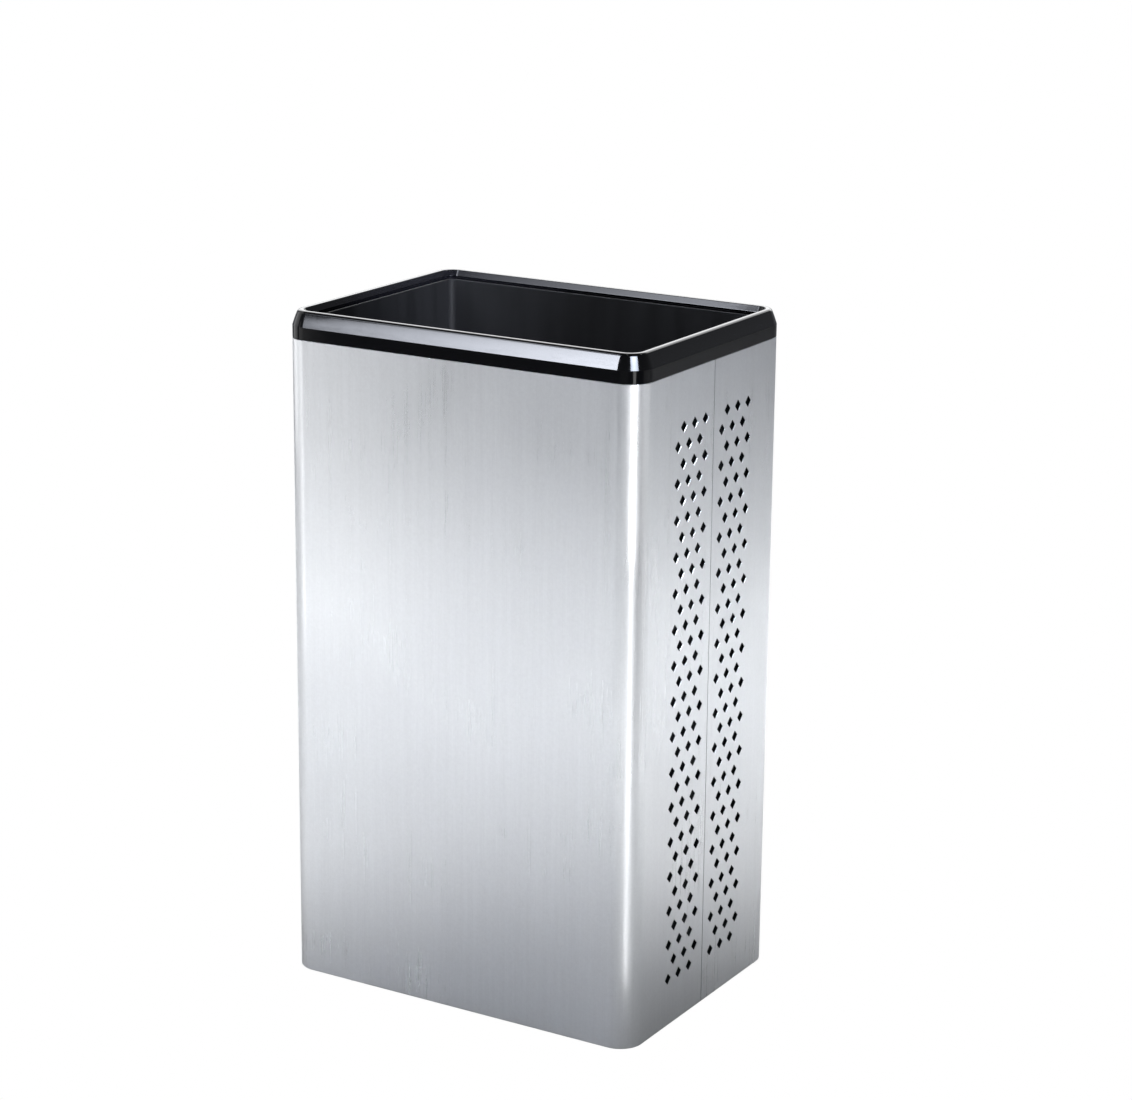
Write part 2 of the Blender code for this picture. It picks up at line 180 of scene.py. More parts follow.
# Lights that shine straight down on the floor, which the steel reflects: (name, x, y, watts, colour).
POOL_HEIGHT = 1.3
POOL_SIZE = (0.6, 0.6)
POOL_SPREAD = 110.0
POOLS = (
    ("front_left", -0.62, -1.10, 6.3, (0.98, 1.0, 1.02)),
    ("front_right", 0.80, -1.00, 7.7, (0.98, 1.0, 1.02)),
    ("rear_right", 0.60, 1.02, 10.2, (0.97, 0.99, 1.01)),
    ("rear_far", 1.35, 2.20, 2.7, (0.98, 0.99, 1.0)),
    ("rear_left", -0.80, 1.00, 9.0, (0.98, 1.0, 1.02)),
)

# Upright strips that the near corner reflects as one bright line: (name, bottom, top, watts).
TUBE_PLACE = (0.29, -0.22)
TUBE_AIM = (0.16, -0.11)
TUBE_WIDTH = 0.035
CORNER_TUBES = (("tube_low", 0.0, 0.40, 0.115), ("tube_high", 0.40, 0.64, 0.20))

# The other lights: (name, place, aim, size, watts, spread in degrees, colour, seen in reflections only).
ALL_ROUND = 180.0
WHITE = (1.0, 1.0, 1.0)
COOL_WHITE = (0.84, 0.92, 1.10)
RIM_CORNER = (-0.155, 0.11, 0.62)
SOFTBOXES = (
    ("near_spot", (0.47, -0.36, 0.86), (0.16, -0.11, 0.61), (0.28, 0.24), 2.2, 60.0, COOL_WHITE, True),
    ("left_card", (-0.95, -0.85, 0.45), (-0.1, -0.1, 0.45), (0.45, 0.9), 2.1, ALL_ROUND, WHITE, False),
    ("left_pool", (-0.40, -0.27, 0.45), (-0.40, -0.27, 0.0), (0.2, 0.2), 0.6, 100.0, WHITE, False),
    ("right_pool", (0.42, 0.26, 0.45), (0.42, 0.26, 0.0), (0.2, 0.2), 0.55, 100.0, WHITE, False),
    ("right_card", (0.73, 0.10, 0.35), (0.17, -0.11, 0.35), (0.40, 0.70), 0.52, ALL_ROUND, WHITE, False),
    ("front_card", (0.22, -0.71, 0.35), (0.17, -0.11, 0.35), (0.35, 0.70), 0.15, ALL_ROUND, WHITE, False),
    ("mouth_light", (0.55, -0.55, 1.35), (-0.165, 0.085, 0.60), (0.04, 0.04), 0.60, 13.0, WHITE, False),
    ("spark_left", (0.01, -0.19, 1.77), RIM_CORNER, (0.14, 0.14), 0.5, 40.0, WHITE, True),
    ("spark_right", (0.42, 0.45, 1.61), RIM_CORNER, (0.14, 0.14), 0.5, 40.0, WHITE, True),
    ("back_panel", (-0.85, 1.80, 1.50), (0.0, 0.0, 0.6), (2.8, 1.4), 38.0, ALL_ROUND, WHITE, True),
    ("left_bank", (-1.6, -0.2, 0.9), (0.0, 0.0, 0.3), (1.0, 1.8), 9.0, ALL_ROUND, WHITE, False),
)

# Panels that the rim's top and facet reflect: (name, place, aim, size, dim edge's strength, bright edge's).
PANEL_TINT = (0.93, 0.97, 1.08)
GLOW_PANELS = (
    ("top_panel", (-0.79, -0.78, 1.68), (0.0, 0.12, 0.62), (0.36, 0.50), 3.0, 24.0),
    ("facet_panel", (-1.18, -1.90, 1.78), (0.0, -0.13, 0.613), (0.62, 0.95), 19.0, 80.0),
)

# ---------------------------------------------------------------- materials: each mottle's two colours

STEEL_COLOURS = ((0.590, 0.598, 0.608), (0.640, 0.650, 0.660))
# Painted shade: the near-black colour of the steel below the side walls' outer face, in the perforations
# and on the sheet's inside.
STEEL_PAINTED_SHADE_COLOUR = (0.10, 0.10, 0.105)
STEEL_PAINTED_SHADE_DEPTH = 0.0003
STEEL_ROUGHNESS = 0.30
STEEL_ANISOTROPY = 0.75
ZINC_COLOURS = ((0.43, 0.44, 0.46), (0.60, 0.61, 0.62))
# Painted shade: the seam clips' near-black colours, so they stay dark behind the perforations.
CLIP_SHADE_COLOURS = ((0.024, 0.024, 0.027), (0.060, 0.060, 0.064))
RIM_COLOURS = ((0.0014, 0.0015, 0.0024), (0.008, 0.008, 0.010))
RIM_IOR = 1.25
LINER_COLOURS = ((0.0020, 0.0022, 0.0028), (0.0036, 0.0039, 0.0050))
LINER_IOR = 1.22
BASE_COLOURS = ((0.018, 0.018, 0.019), (0.030, 0.030, 0.031))
RUBBER_COLOURS = ((0.012, 0.012, 0.012), (0.060, 0.058, 0.055))
FLOOR_ROUGHNESS = 0.75


# ---------------------------------------------------------------- outlines and profiles

def corner(centre_x, centre_y, radius, start_degrees):
    """Points of a quarter circle, turning clockwise from the start angle."""
    points = []
    for step in range(CORNER_STEPS + 1):
        angle = math.radians(start_degrees - 90.0 * step / CORNER_STEPS)
        points.append((centre_x + radius * math.cos(angle), centre_y + radius * math.sin(angle)))
    return points


def corner_place(inset):
    """The radius of an outline's corners, and how far their centres are from the middle along X and Y."""
    radius = max(CORNER_RADIUS - inset, LEAST_CORNER_RADIUS)
    return radius, HALF_WIDTH - inset - radius, HALF_DEPTH - inset - radius


def whole_outline(inset):
    """The body's outline seen from above, moved inwards by the inset."""
    radius, x, y = corner_place(inset)
    return (corner(x, -y, radius, 0.0) + corner(-x, -y, radius, -90.0)
            + corner(-x, y, radius, -180.0) + corner(x, y, radius, -270.0))


def front_outline(inset):
    """The front half of the outline, from one seam to the other."""
    radius, x, y = corner_place(inset)
    seam_x = HALF_WIDTH - inset
    return ([(seam_x, -HALF_SEAM)] + corner(x, -y, radius, 0.0)
            + corner(-x, -y, radius, -90.0) + [(-seam_x, -HALF_SEAM)])


def rounded(corners, closed, steps=5):
    """A profile whose corners, given as (inset, height, radius), are replaced by short curves."""
    points = []
    count = len(corners)
    for i, (inset, height, radius) in enumerate(corners):
        here = Vector((inset, height))
        if radius == 0.0 or (not closed and i in (0, count - 1)):
            points.append(here)
            continue
        before = Vector(corners[i - 1][:2]) - here
        after = Vector(corners[(i + 1) % count][:2]) - here
        reach = radius / math.tan(before.angle(after) / 2)
        start = here + before.normalized() * reach
        end = here + after.normalized() * reach
        for step in range(steps + 1):
            t = step / steps
            points.append(start * (1 - t) ** 2 + here * (2 * t * (1 - t)) + end * t ** 2)
    return [(p.x, p.y) for p in points]


# ---------------------------------------------------------------- mesh building

def add_loops(bm, profile, outline):
    """One row of vertices around the outline for each (inset, height) of the profile."""
    loops = []
    for inset, height in profile:
        loops.append([bm.verts.new((x, y, height)) for x, y in outline(inset)])
    return loops


def skin(bm, loop_a, loop_b, closed):
    """Faces between two rows of vertices."""
    count = len(loop_a)
    for i in range(count if closed else count - 1):
        j = (i + 1) % count
        bm.faces.new((loop_a[i], loop_a[j], loop_b[j], loop_b[i]))


def add_ring(bm, profile):
    """Sweep a closed profile all the way round the outline."""
    loops = add_loops(bm, profile, whole_outline)
    for k in range(len(loops)):
        skin(bm, loops[k], loops[(k + 1) % len(loops)], closed=True)


def add_vessel(bm, profile):
    """Sweep an open profile round the outline, and close its first and last rows with flat floors."""
    loops = add_loops(bm, profile, whole_outline)
    for loop_a, loop_b in zip(loops, loops[1:]):
        skin(bm, loop_a, loop_b, closed=True)
    bm.faces.new(loops[0])
    bm.faces.new(loops[-1])


def add_box(bm, low, high, bevel=0.0):
    """A box between two corners, with softened edges if a bevel is given."""
    size = [b - a for a, b in zip(low, high)]
    middle = [(a + b) / 2 for a, b in zip(low, high)]
    matrix = Matrix.Translation(middle) @ Matrix.Diagonal((*size, 1.0))
    made = bmesh.ops.create_cube(bm, size=1.0, matrix=matrix)
    if bevel:
        edges = {edge for vert in made["verts"] for edge in vert.link_edges}
        bmesh.ops.bevel(bm, geom=list(edges), offset=bevel, segments=2, affect="EDGES", profile=0.5)


def add_prism(bm, outline, levels):
    """A closed prism through copies of a flat outline: each level is (height, scale)."""
    loops = [[bm.verts.new((x * scale, y * scale, height)) for x, y in outline] for height, scale in levels]
    for loop_a, loop_b in zip(loops, loops[1:]):
        skin(bm, loop_a, loop_b, closed=True)
    bm.faces.new(loops[0])
    bm.faces.new(loops[-1])
    return [vert for loop in loops for vert in loop]


def add_post(bm, x, y, bottom, top, radius):
    """An upright round post with a softened upper edge."""
    soft = radius / 8
    angles = [2 * math.pi * i / ROUND_STEPS for i in range(ROUND_STEPS)]
    outline = [(radius * math.cos(angle), radius * math.sin(angle)) for angle in angles]
    verts = add_prism(bm, outline, [(bottom, 1.0), (top - soft, 1.0), (top, 1.0 - soft / radius)])
    bmesh.ops.transform(bm, verts=verts, matrix=Matrix.Translation((x, y, 0.0)))


def add_turned(bm, profile, segments):
    """Spin a (radius, height) profile about Z. Its ends are either on the axis or in the same place."""
    rings = []
    for radius, height in profile:
        count = segments if radius > 0.0 else 1
        angles = [2 * math.pi * i / segments for i in range(count)]
        rings.append([bm.verts.new((radius * math.cos(a), radius * math.sin(a), height)) for a in angles])
    for ring_a, ring_b in zip(rings, rings[1:]):
        for i in range(segments):
            j = (i + 1) % segments
            face = []
            for vert in (ring_a[i % len(ring_a)], ring_a[j % len(ring_a)],
                         ring_b[j % len(ring_b)], ring_b[i % len(ring_b)]):
                if vert not in face:
                    face.append(vert)
            bm.faces.new(face)
    bmesh.ops.remove_doubles(bm, verts=bm.verts, dist=1e-7)


def finish_mesh(bm, name):
    """Turn a bmesh into mesh data with its faces pointing out."""
    bmesh.ops.recalc_face_normals(bm, faces=bm.faces)
    mesh = bpy.data.meshes.new(name)
    bm.to_mesh(mesh)
    bm.free()
    return mesh


def boolean(mesh, tool_mesh, operation, name):
    """The mesh with the tool's shapes joined to it or cut out of it."""
    base = bpy.data.objects.new(name + "_base", mesh)
    tool = bpy.data.objects.new(name + "_tool", tool_mesh)
    for item in (base, tool):
        bpy.context.scene.collection.objects.link(item)
    modifier = base.modifiers.new("boolean", "BOOLEAN")
    modifier.operation = operation
    modifier.solver = "EXACT"
    modifier.object = tool
    bpy.context.view_layer.update()
    evaluated = base.evaluated_get(bpy.context.evaluated_depsgraph_get())
    result = bpy.data.meshes.new_from_object(evaluated)
    result.name = name
    for item in (base, tool):
        bpy.data.objects.remove(item)
    return result


def smooth(mesh):
    """Shade the mesh smooth, except over edges sharper than SMOOTH_ANGLE."""
    mesh.shade_smooth()
    mesh.set_sharp_from_angle(angle=math.radians(SMOOTH_ANGLE))
    return mesh


def place(name, mesh, material, body, nodes, matrix=None):
    """Show a finished piece in the place of CAD nodes."""
    if not mesh.materials:
        mesh.materials.append(material)
    piece = bpy.data.objects.new(name, mesh)
    if matrix is not None:
        piece.matrix_world = matrix
    bpy.context.scene.collection.objects.link(piece)
    weighted = piece.modifiers.new("even shading", "WEIGHTED_NORMAL")
    weighted.keep_sharp = True
    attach(piece, body)
    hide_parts(*nodes)


# ---------------------------------------------------------------- materials

class Nodes:
    """A short way to write a material's node tree."""

    def __init__(self, name):
        self.material = bpy.data.materials.new(name)
        self.material.use_nodes = True
        self.tree = self.material.node_tree
        self.shader = self.tree.nodes["Principled BSDF"]

    def add(self, kind, settings=None, **inputs):
        node = self.tree.nodes.new(kind)
        for key, value in (settings or {}).items():
            setattr(node, key, value)
        for key, value in inputs.items():
            self.put(node, key.replace("_", " "), value)
        return node

    def put(self, node, key, value):
        if isinstance(value, bpy.types.NodeSocket):
            self.tree.links.new(value, node.inputs[key])
        else:
            node.inputs[key].default_value = value

    def shade(self, **inputs):
        for key, value in inputs.items():
            self.put(self.shader, key.replace("_", " "), value)

    def coordinates(self, scale):
        """The piece's own coordinates, stretched by a scale along each axis."""
        place_node = self.add("ShaderNodeTexCoord")
        mapping = self.add("ShaderNodeMapping", Vector=place_node.outputs["Object"], Scale=scale)
        return mapping.outputs["Vector"]

    def noise(self, scale, detail=4.0, roughness=0.5, stretch=(1.0, 1.0, 1.0)):
        node = self.add("ShaderNodeTexNoise", Vector=self.coordinates(stretch), Scale=scale, Detail=detail,
                        Roughness=roughness)
        return node.outputs["Fac"]

    def span(self, value, low, high, source=(0.3, 0.7)):
        """Turn a texture's usual range of values into low to high."""
        node = self.add("ShaderNodeMapRange", Value=value)
        node.inputs["From Min"].default_value, node.inputs["From Max"].default_value = source
        node.inputs["To Min"].default_value, node.inputs["To Max"].default_value = low, high
        return node.outputs["Result"]

    def mix(self, factor, colour_a, colour_b):
        """Colour a where the factor is 0, and colour b where it is 1."""
        node = self.add("ShaderNodeMix", {"data_type": "RGBA"})
        self.tree.links.new(factor, node.inputs["Factor"])
        sockets = [socket for socket in node.inputs if socket.type == "RGBA"]
        for socket, colour in zip(sockets, (colour_a, colour_b)):
            if isinstance(colour, bpy.types.NodeSocket):
                self.tree.links.new(colour, socket)
            else:
                socket.default_value = (*colour, 1.0)
        return [socket for socket in node.outputs if socket.type == "RGBA"][0]

    def math(self, operation, a, b):
        node = self.add("ShaderNodeMath", {"operation": operation})
        for socket, value in zip(node.inputs, (a, b)):
            if isinstance(value, bpy.types.NodeSocket):
                self.tree.links.new(value, socket)
            else:
                socket.default_value = value
        return node.outputs[0]

    def bump(self, height, strength, distance):
        node = self.add("ShaderNodeBump", Height=height, Strength=strength, Distance=distance)
        return node.outputs["Normal"]


def brushed_steel():
    """Stainless sheet brushed along its height, with painted shade on the side walls below their outer
    face: the perforations' walls, the sheet's inside and its flanges there.
    """
    m = Nodes("brushed_steel")
    fine = m.noise(1.0, detail=3.0, roughness=0.6, stretch=(1500.0, 1500.0, 14.0))
    broad = m.noise(1.0, detail=4.0, roughness=0.55, stretch=(170.0, 170.0, 3.0))
    mottle = m.noise(420.0, detail=3.0, roughness=0.7)
    cloud = m.noise(9.0, detail=5.0, roughness=0.6)
    streaks = m.math("ADD", m.math("MULTIPLY", fine, 0.55), m.math("MULTIPLY", broad, 0.45))
    grain = m.math("ADD", m.math("MULTIPLY", streaks, 0.6), m.math("MULTIPLY", mottle, 0.4))
    sheet_colour = m.mix(m.span(grain, 0.0, 1.0, (0.38, 0.62)), *STEEL_COLOURS)
    # Painted shade: on the side walls, steel more than a hair below the outer face turns near black. This
    # covers the perforations' walls, the sheet's inside and its flanges.
    split = m.add("ShaderNodeSeparateXYZ", Vector=m.coordinates((1.0, 1.0, 1.0)))
    below_face = m.math("LESS_THAN", m.math("ABSOLUTE", split.outputs["X"], 0.0),
                        HALF_WIDTH - STEEL_PAINTED_SHADE_DEPTH)
    on_side = m.math("LESS_THAN", m.math("ABSOLUTE", split.outputs["Y"], 0.0), HALF_DEPTH - CORNER_RADIUS)
    colour = m.mix(m.math("MULTIPLY", below_face, on_side), sheet_colour, STEEL_PAINTED_SHADE_COLOUR)
    rough = m.math("ADD", m.span(streaks, -0.035, 0.035),
                   m.span(cloud, STEEL_ROUGHNESS - 0.03, STEEL_ROUGHNESS + 0.03))
    tangent = m.add("ShaderNodeTangent", {"direction_type": "RADIAL", "axis": "Z"})
    m.shade(Base_Color=colour, Roughness=rough, Metallic=1.0, Anisotropic=STEEL_ANISOTROPY,
            Tangent=tangent.outputs["Tangent"], Normal=m.bump(grain, 0.05, 0.0001))
    return m.material


def zinced_steel():
    """Dull zinc plating with a faint mottle."""
    m = Nodes("zinced_steel")
    mottle = m.noise(260.0, detail=3.0)
    cells = m.add("ShaderNodeTexVoronoi", Vector=m.coordinates((1.0, 1.0, 1.0)), Scale=180.0)
    colour = m.mix(m.span(mottle, 0.0, 1.0), *ZINC_COLOURS)
    m.shade(Base_Color=colour, Metallic=1.0,
            Roughness=m.span(cells.outputs["Distance"], 0.32, 0.50, (0.0, 1.0)),
            Normal=m.bump(mottle, 0.2, 0.0001))
    return m.material


def blackened_steel():
    """Near-black steel as painted shade, for parts seen only through the perforations, with faint paler
    rubs.
    """
    m = Nodes("blackened_steel")
    rubs = m.noise(320.0, detail=4.0, roughness=0.7)
    colour = m.mix(m.span(rubs, 0.0, 1.0, (0.45, 0.75)), *CLIP_SHADE_COLOURS)
    m.shade(Base_Color=colour, Roughness=m.span(rubs, 0.42, 0.58), Metallic=1.0,
            Normal=m.bump(rubs, 0.2, 0.0001))
    return m.material


def rim_plastic():
    """Polished black moulding with faint rub marks and a trace of dust."""
    m = Nodes("rim_plastic")
    rubs = m.noise(1.0, detail=6.0, roughness=0.7, stretch=(60.0, 60.0, 420.0))
    ripple = m.noise(38.0, detail=2.0)
    dust = m.noise(1900.0, detail=2.0)
    colour = m.mix(m.span(dust, 0.0, 1.0, (0.62, 0.80)), *RIM_COLOURS)
    m.shade(Base_Color=colour, Roughness=m.span(rubs, 0.06, 0.13), IOR=RIM_IOR,
            Normal=m.bump(ripple, 0.10, 0.0004))
    return m.material


def liner_plastic():
    """Satin black moulding with a fine grain and soft vertical scuffs."""
    m = Nodes("liner_plastic")
    grain = m.noise(1400.0, detail=2.0)
    scuffs = m.noise(1.0, detail=5.0, roughness=0.65, stretch=(45.0, 45.0, 3.5))
    colour = m.mix(m.span(scuffs, 0.0, 1.0), *LINER_COLOURS)
    m.shade(Base_Color=colour, Roughness=m.span(scuffs, 0.36, 0.50), IOR=LINER_IOR,
            Normal=m.bump(grain, 0.35, 0.00015))
    return m.material


def base_plastic():
    """Matte black moulding with a coarse spark-eroded grain."""
    m = Nodes("base_plastic")
    grain = m.noise(900.0, detail=3.0)
    patches = m.noise(24.0)
    colour = m.mix(m.span(patches, 0.0, 1.0), *BASE_COLOURS)
    m.shade(Base_Color=colour, Roughness=m.span(patches, 0.52, 0.68), Normal=m.bump(grain, 0.5, 0.0002))
    return m.material


def foot_rubber():
    """Black rubber, dusty on its worn parts."""
    m = Nodes("foot_rubber")
    grain = m.noise(1600.0, detail=3.0)
    dust = m.noise(210.0, detail=5.0, roughness=0.7)
    colour = m.mix(m.span(dust, 0.0, 1.0, (0.45, 0.75)), *RUBBER_COLOURS)
    m.shade(Base_Color=colour, Roughness=m.span(dust, 0.70, 0.90), Normal=m.bump(grain, 0.4, 0.0002))
    return m.material


# ---------------------------------------------------------------- shells

def hole_outline(half_diagonal):
    """A square standing on its corner, with its corners rounded."""
    reach = HOLE_CORNER_RADIUS * math.sqrt(2.0)
    points = []
    for quarter in range(4):
        direction = math.pi / 2 * quarter
        centre = half_diagonal - reach
        for step in range(4):
            angle = direction + math.radians(-45.0 + 30.0 * step)
            points.append((centre * math.cos(direction) + HOLE_CORNER_RADIUS * math.cos(angle),
                           centre * math.sin(direction) + HOLE_CORNER_RADIUS * math.sin(angle)))
    return points


def perforation_mesh():
    """Cutters of all the perforations in one shell, flared where they leave its outer face."""
    bm = bmesh.new()
    outline = hole_outline(HOLE_HALF_DIAGONAL)
    flare = 1.0 + HOLE_CHAMFER / HOLE_HALF_DIAGONAL
    levels = [(-3 * SHEET, 1.0), (-HOLE_CHAMFER, 1.0), (0.0, flare), (SHEET, flare)]
    for side in (-1, 1):
        outwards = Matrix.Rotation(side * math.radians(90.0), 4, "Y")
        for row in range(HOLE_ROWS):
            first = row % 2 if side > 0 else 1 - row % 2
            for column in range(first, HOLE_COLUMNS, 2):
                y = -(FIRST_COLUMN + column * COLUMN_PITCH)
                z = TOP_ROW - row * ROW_PITCH
                verts = add_prism(bm, outline, levels)
                bmesh.ops.transform(bm, verts=verts,
                                    matrix=Matrix.Translation((side * HALF_WIDTH, y, z)) @ outwards)
    return finish_mesh(bm, "perforations")


def screw_sites():
    """Where the screws through the shells' flanges stand, seen from above."""
    x = HALF_WIDTH - SCREW_INSET
    y = HALF_DEPTH - SCREW_INSET
    sites = []
    for side in (-1, 1):
        for along in (-1, 1):
            sites.append((along * SCREW_ALONG_FRONT, side * y))
            sites.append((side * x, along * SCREW_ALONG_SIDE))
    return sites


def shell_mesh():
    """A U-shaped sheet with bent flanges, softened seam edges, perforations and screw holes."""
    bend = 1.5 * SHEET
    edge = 0.25 * SHEET
    crisp = 0.06 * SHEET
    profile = rounded([
        (0.0, SHELL_BOTTOM, bend),
        (0.0, SHELL_TOP, crisp),
        (FLANGE_WIDTH, SHELL_TOP, edge),
        (FLANGE_WIDTH, SHELL_TOP - SHEET, edge),
        (SHEET, SHELL_TOP - SHEET, edge),
        (SHEET, SHELL_BOTTOM + SHEET, bend - SHEET),
        (FLANGE_WIDTH, SHELL_BOTTOM + SHEET, edge),
        (FLANGE_WIDTH, SHELL_BOTTOM, edge),
    ], closed=True)
    bm = bmesh.new()
    loops = add_loops(bm, profile, front_outline)
    for k in range(len(loops)):
        skin(bm, loops[k], loops[(k + 1) % len(loops)], closed=False)
    bm.faces.new([loop[0] for loop in loops])
    bm.faces.new([loop[-1] for loop in loops])
    seam_edges = []
    for edge_item in bm.edges:
        a, b = (vert.co for vert in edge_item.verts)
        on_seam = abs(a.y + HALF_SEAM) < SAME_PLACE and abs(b.y + HALF_SEAM) < SAME_PLACE
        if on_seam and abs(a.z - b.z) > SHELL_TOP / 2 and abs(a.x) > HALF_WIDTH - SHEET / 2:
            seam_edges.append(edge_item)
    bmesh.ops.bevel(bm, geom=seam_edges, offset=SEAM_EDGE_RADIUS, segments=4, affect="EDGES", profile=0.5)
    shell = finish_mesh(bm, "shell")

    holes = bmesh.new()
    holes.from_mesh(perforation_mesh())
    for x, y in screw_sites():
        if y < 0.0:
            for middle in (SHELL_BOTTOM + SHEET / 2, SHELL_TOP - SHEET / 2):
                bmesh.ops.create_cone(holes, cap_ends=True, segments=SCREW_STEPS, radius1=SCREW_HOLE_RADIUS,
                                      radius2=SCREW_HOLE_RADIUS, depth=2 * SHEET,
                                      matrix=Matrix.Translation((x, y, middle)))
    shell = boolean(shell, finish_mesh(holes, "holes"), "DIFFERENCE", "perforated_shell")

    bm = bmesh.new()
    bm.from_mesh(shell)
    for side in (-1, 1):
        x_outer = side * (HALF_WIDTH - SHEET)
        x_inner = side * (HALF_WIDTH - SEAM_FLANGE_DEPTH)
        add_box(bm, (min(x_outer, x_inner), -HALF_SEAM - SHEET, SEAM_FLANGE_BOTTOM),
                (max(x_outer, x_inner), -HALF_SEAM, SEAM_FLANGE_TOP))
    return finish_mesh(bm, "finished_shell")


def build_shells(material):
    mesh = smooth(shell_mesh())
    place("front_shell_sheet", mesh, material, "stand", ["front_shell"])
    place("rear_shell_sheet", mesh, material, "stand", ["rear_shell"],
          Matrix.Rotation(math.pi, 4, "Z"))


# ---------------------------------------------------------------- rim and liner

def build_rim(material):
    """The moulded rim, with every edge rounded and its facet a little convex."""
    skirt_outer = RIM_OPENING_INSET - RIM_WALL
    rest = frame_high.z + REST_GAP
    profile = rounded([
        (0.0, RIM_LIP_BOTTOM, 0.0004),
        (0.0, RIM_CREASE, 0.0010),
        (*RIM_FACET_BULGE, 0.080),
        (RIM_TOP_OUTER_INSET, rim_high.z, 0.0040),
        (RIM_TOP_INNER_INSET, rim_high.z, 0.0010),
        (RIM_OPENING_INSET, RIM_INNER_SLOPE_BOTTOM, 0.0010),
        (RIM_OPENING_INSET, rim_low.z, 0.0006),
        (skirt_outer, rim_low.z, 0.0006),
        (skirt_outer, rest, 0.0003),
        (RIM_LAND_INSET, rest, 0.0003),
        (RIM_LAND_INSET, RIM_CAVITY_SLOPE_BOTTOM, 0.0003),
        (RIM_CAVITY_TOP_INNER_INSET, RIM_CAVITY_TOP, 0.0003),
        (RIM_CAVITY_TOP_OUTER_INSET, RIM_CAVITY_TOP, 0.0003),
        (RIM_WALL, RIM_CAVITY_CORNER, 0.0005),
        (RIM_WALL, RIM_LIP_BOTTOM, 0.0004),
    ], closed=True)
    bm = bmesh.new()
    add_ring(bm, profile)
    place("rim_moulding", smooth(finish_mesh(bm, "rim_moulding")), material, "rim", ["rim"])


def build_liner(material):
    """The tall bin, with a rounded mouth and low ribs across its floor."""
    floor = liner_low.z + LINER_FLOOR
    profile = rounded([
        (LINER_BOTTOM_INSET + LINER_UNDERSIDE_EDGE, liner_low.z, 0.0),
        (LINER_BOTTOM_INSET, liner_low.z, 0.006),
        (LINER_TOP_INSET, liner_high.z, 0.0009),
        (LINER_TOP_INSET + LINER_WALL, liner_high.z, 0.0009),
        (LINER_BOTTOM_INSET + LINER_WALL, floor, 0.004),
        (LINER_BOTTOM_INSET + LINER_FLOOR_EDGE, floor, 0.0),
    ], closed=False, steps=8)
    bm = bmesh.new()
    add_vessel(bm, profile)
    half_length = HALF_WIDTH - LINER_BOTTOM_INSET - LINER_RIB_END_GAP
    half_width = LINER_RIB_WIDTH / 2
    for rib in range(LINER_RIBS):
        y = (rib - (LINER_RIBS - 1) / 2) * LINER_RIB_PITCH
        add_box(bm, (-half_length, y - half_width, floor - LINER_RIB_ROOT),
                (half_length, y + half_width, floor + LINER_RIB_HEIGHT), LINER_RIB_BEVEL)
    place("liner_bin", smooth(finish_mesh(bm, "liner_bin")), material, "liner", ["liner"])


# ---------------------------------------------------------------- base, feet and screws

def box_middle(node):
    """The middle of a CAD node's box."""
    low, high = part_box(node)
    return (low + high) / 2


def build_base(material):
    """The base pan, with bosses and ribs inside and shallow panels underneath."""
    inset = HALF_WIDTH - pan_high.x
    floor = pan_low.z + PAN_FLOOR
    profile = rounded([
        (inset + PAN_RETURN, pan_low.z, 0.0),
        (inset, pan_low.z, 0.0008),
        (inset, pan_high.z, 0.0006),
        (inset + PAN_WALL, pan_high.z, 0.0006),
        (inset + PAN_WALL, floor, 0.0008),
        (inset + PAN_RETURN, floor, 0.0),
    ], closed=False)
    bm = bmesh.new()
    add_vessel(bm, profile)
    pan = finish_mesh(bm, "pan")

    root = pan_low.z + PAN_FLOOR / 2
    bm = bmesh.new()
    for x, y in screw_sites():
        add_post(bm, x, y, root, SCREW_BOSS_TOP, SCREW_BOSS_RADIUS)
    for name in FOOT_NAMES:
        middle = box_middle("foot_" + name)
        add_post(bm, middle.x, middle.y, root, LINER_REST, FOOT_BOSS_RADIUS)
    for side in (-1, 1):
        x = side * REST_RIB_X
        add_box(bm, (x - REST_RIB_WIDTH / 2, -REST_RIB_LENGTH / 2, root),
                (x + REST_RIB_WIDTH / 2, REST_RIB_LENGTH / 2, LINER_REST), REST_RIB_BEVEL)
    pan = boolean(pan, finish_mesh(bm, "bosses"), "UNION", "pan_with_bosses")

    bm = bmesh.new()
    for x in PANEL_PLACES:
        for y in (-PANEL_SIZE[1] / 2 - PANEL_GAP / 2, PANEL_SIZE[1] / 2 + PANEL_GAP / 2):
            add_box(bm, (x - PANEL_SIZE[0] / 2, y - PANEL_SIZE[1] / 2, pan_low.z - PAN_FLOOR),
                    (x + PANEL_SIZE[0] / 2, y + PANEL_SIZE[1] / 2, pan_low.z + PANEL_DEPTH))
    pan = boolean(pan, finish_mesh(bm, "panels"), "DIFFERENCE", "base_moulding")
    place("base_moulding", smooth(pan), material, "stand", ["base_pan"])


